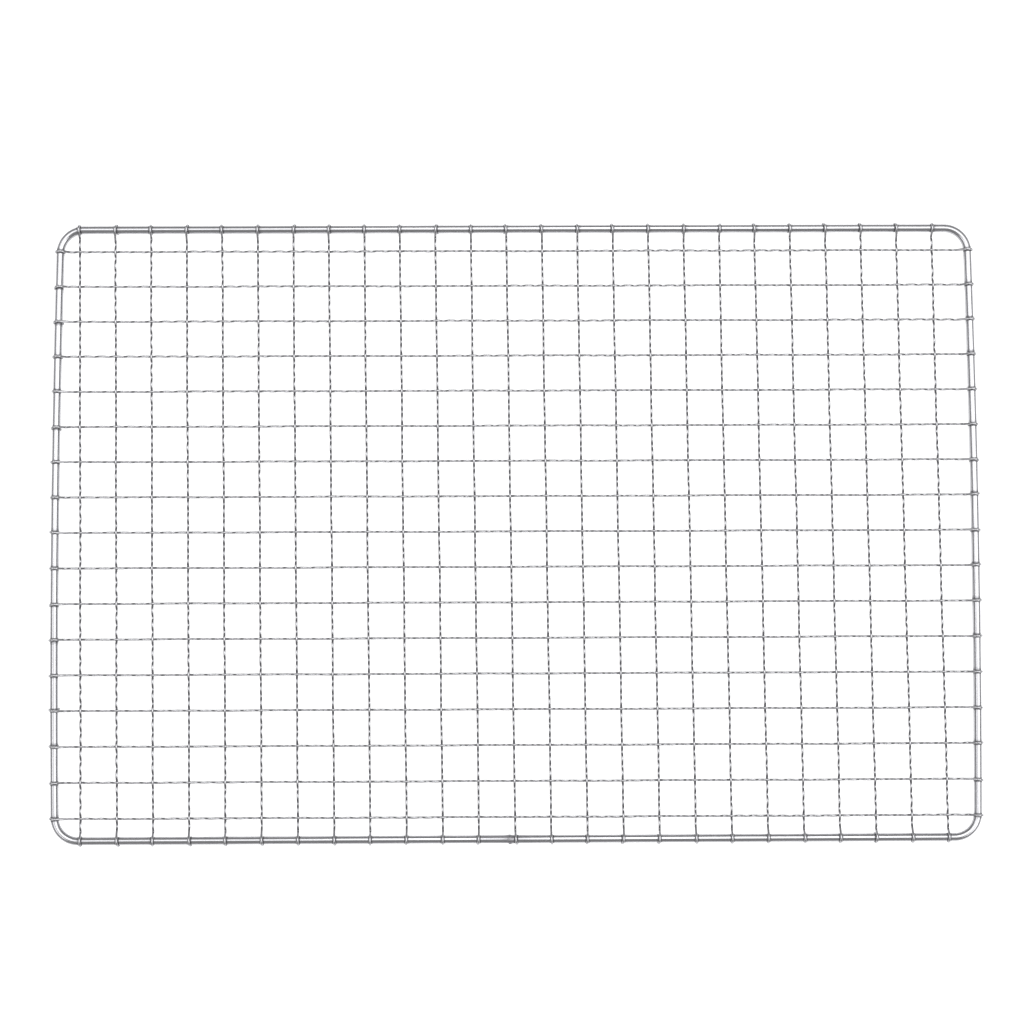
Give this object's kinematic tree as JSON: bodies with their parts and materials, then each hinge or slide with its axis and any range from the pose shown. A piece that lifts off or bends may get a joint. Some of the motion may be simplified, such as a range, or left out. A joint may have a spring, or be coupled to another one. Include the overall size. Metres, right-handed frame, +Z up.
{
  "type": "cooling rack",
  "caption": "Flat footless bakery cooling rack: crimped wires woven into an open square mesh, each hooked round a thick round-cornered border wire.",
  "frame": {"origin": "under the middle of the border, on the plane that the undersides of the wire hooks stand on", "axes": "+X along the rack's long side, +Y across it towards the far long side, +Z up out of the mesh"},
  "size_m": [0.6038, 0.4038, 0.009],
  "materials": {
    "border_steel": "bright drawn steel wire",
    "mesh_steel": "bright drawn and crimped steel wire"
  },
  "bodies": {
    "root": {"border_wire": "border_steel", "cross_wire_01": "mesh_steel", "cross_wire_02": "mesh_steel", "cross_wire_03": "mesh_steel", "cross_wire_04": "mesh_steel", "cross_wire_05": "mesh_steel", "cross_wire_06": "mesh_steel", "cross_wire_07": "mesh_steel", "cross_wire_08": "mesh_steel", "cross_wire_09": "mesh_steel", "cross_wire_10": "mesh_steel", "cross_wire_11": "mesh_steel", "cross_wire_12": "mesh_steel", "cross_wire_13": "mesh_steel", "cross_wire_14": "mesh_steel", "cross_wire_15": "mesh_steel", "cross_wire_16": "mesh_steel", "cross_wire_17": "mesh_steel", "cross_wire_18": "mesh_steel", "cross_wire_19": "mesh_steel", "cross_wire_20": "mesh_steel", "cross_wire_21": "mesh_steel", "cross_wire_22": "mesh_steel", "cross_wire_23": "mesh_steel", "cross_wire_24": "mesh_steel", "cross_wire_25": "mesh_steel", "long_wire_01": "mesh_steel", "long_wire_02": "mesh_steel", "long_wire_03": "mesh_steel", "long_wire_04": "mesh_steel", "long_wire_05": "mesh_steel", "long_wire_06": "mesh_steel", "long_wire_07": "mesh_steel", "long_wire_08": "mesh_steel", "long_wire_09": "mesh_steel", "long_wire_10": "mesh_steel", "long_wire_11": "mesh_steel", "long_wire_12": "mesh_steel", "long_wire_13": "mesh_steel", "long_wire_14": "mesh_steel", "long_wire_15": "mesh_steel", "long_wire_16": "mesh_steel", "long_wire_17": "mesh_steel"}
  },
  "joints": []
}
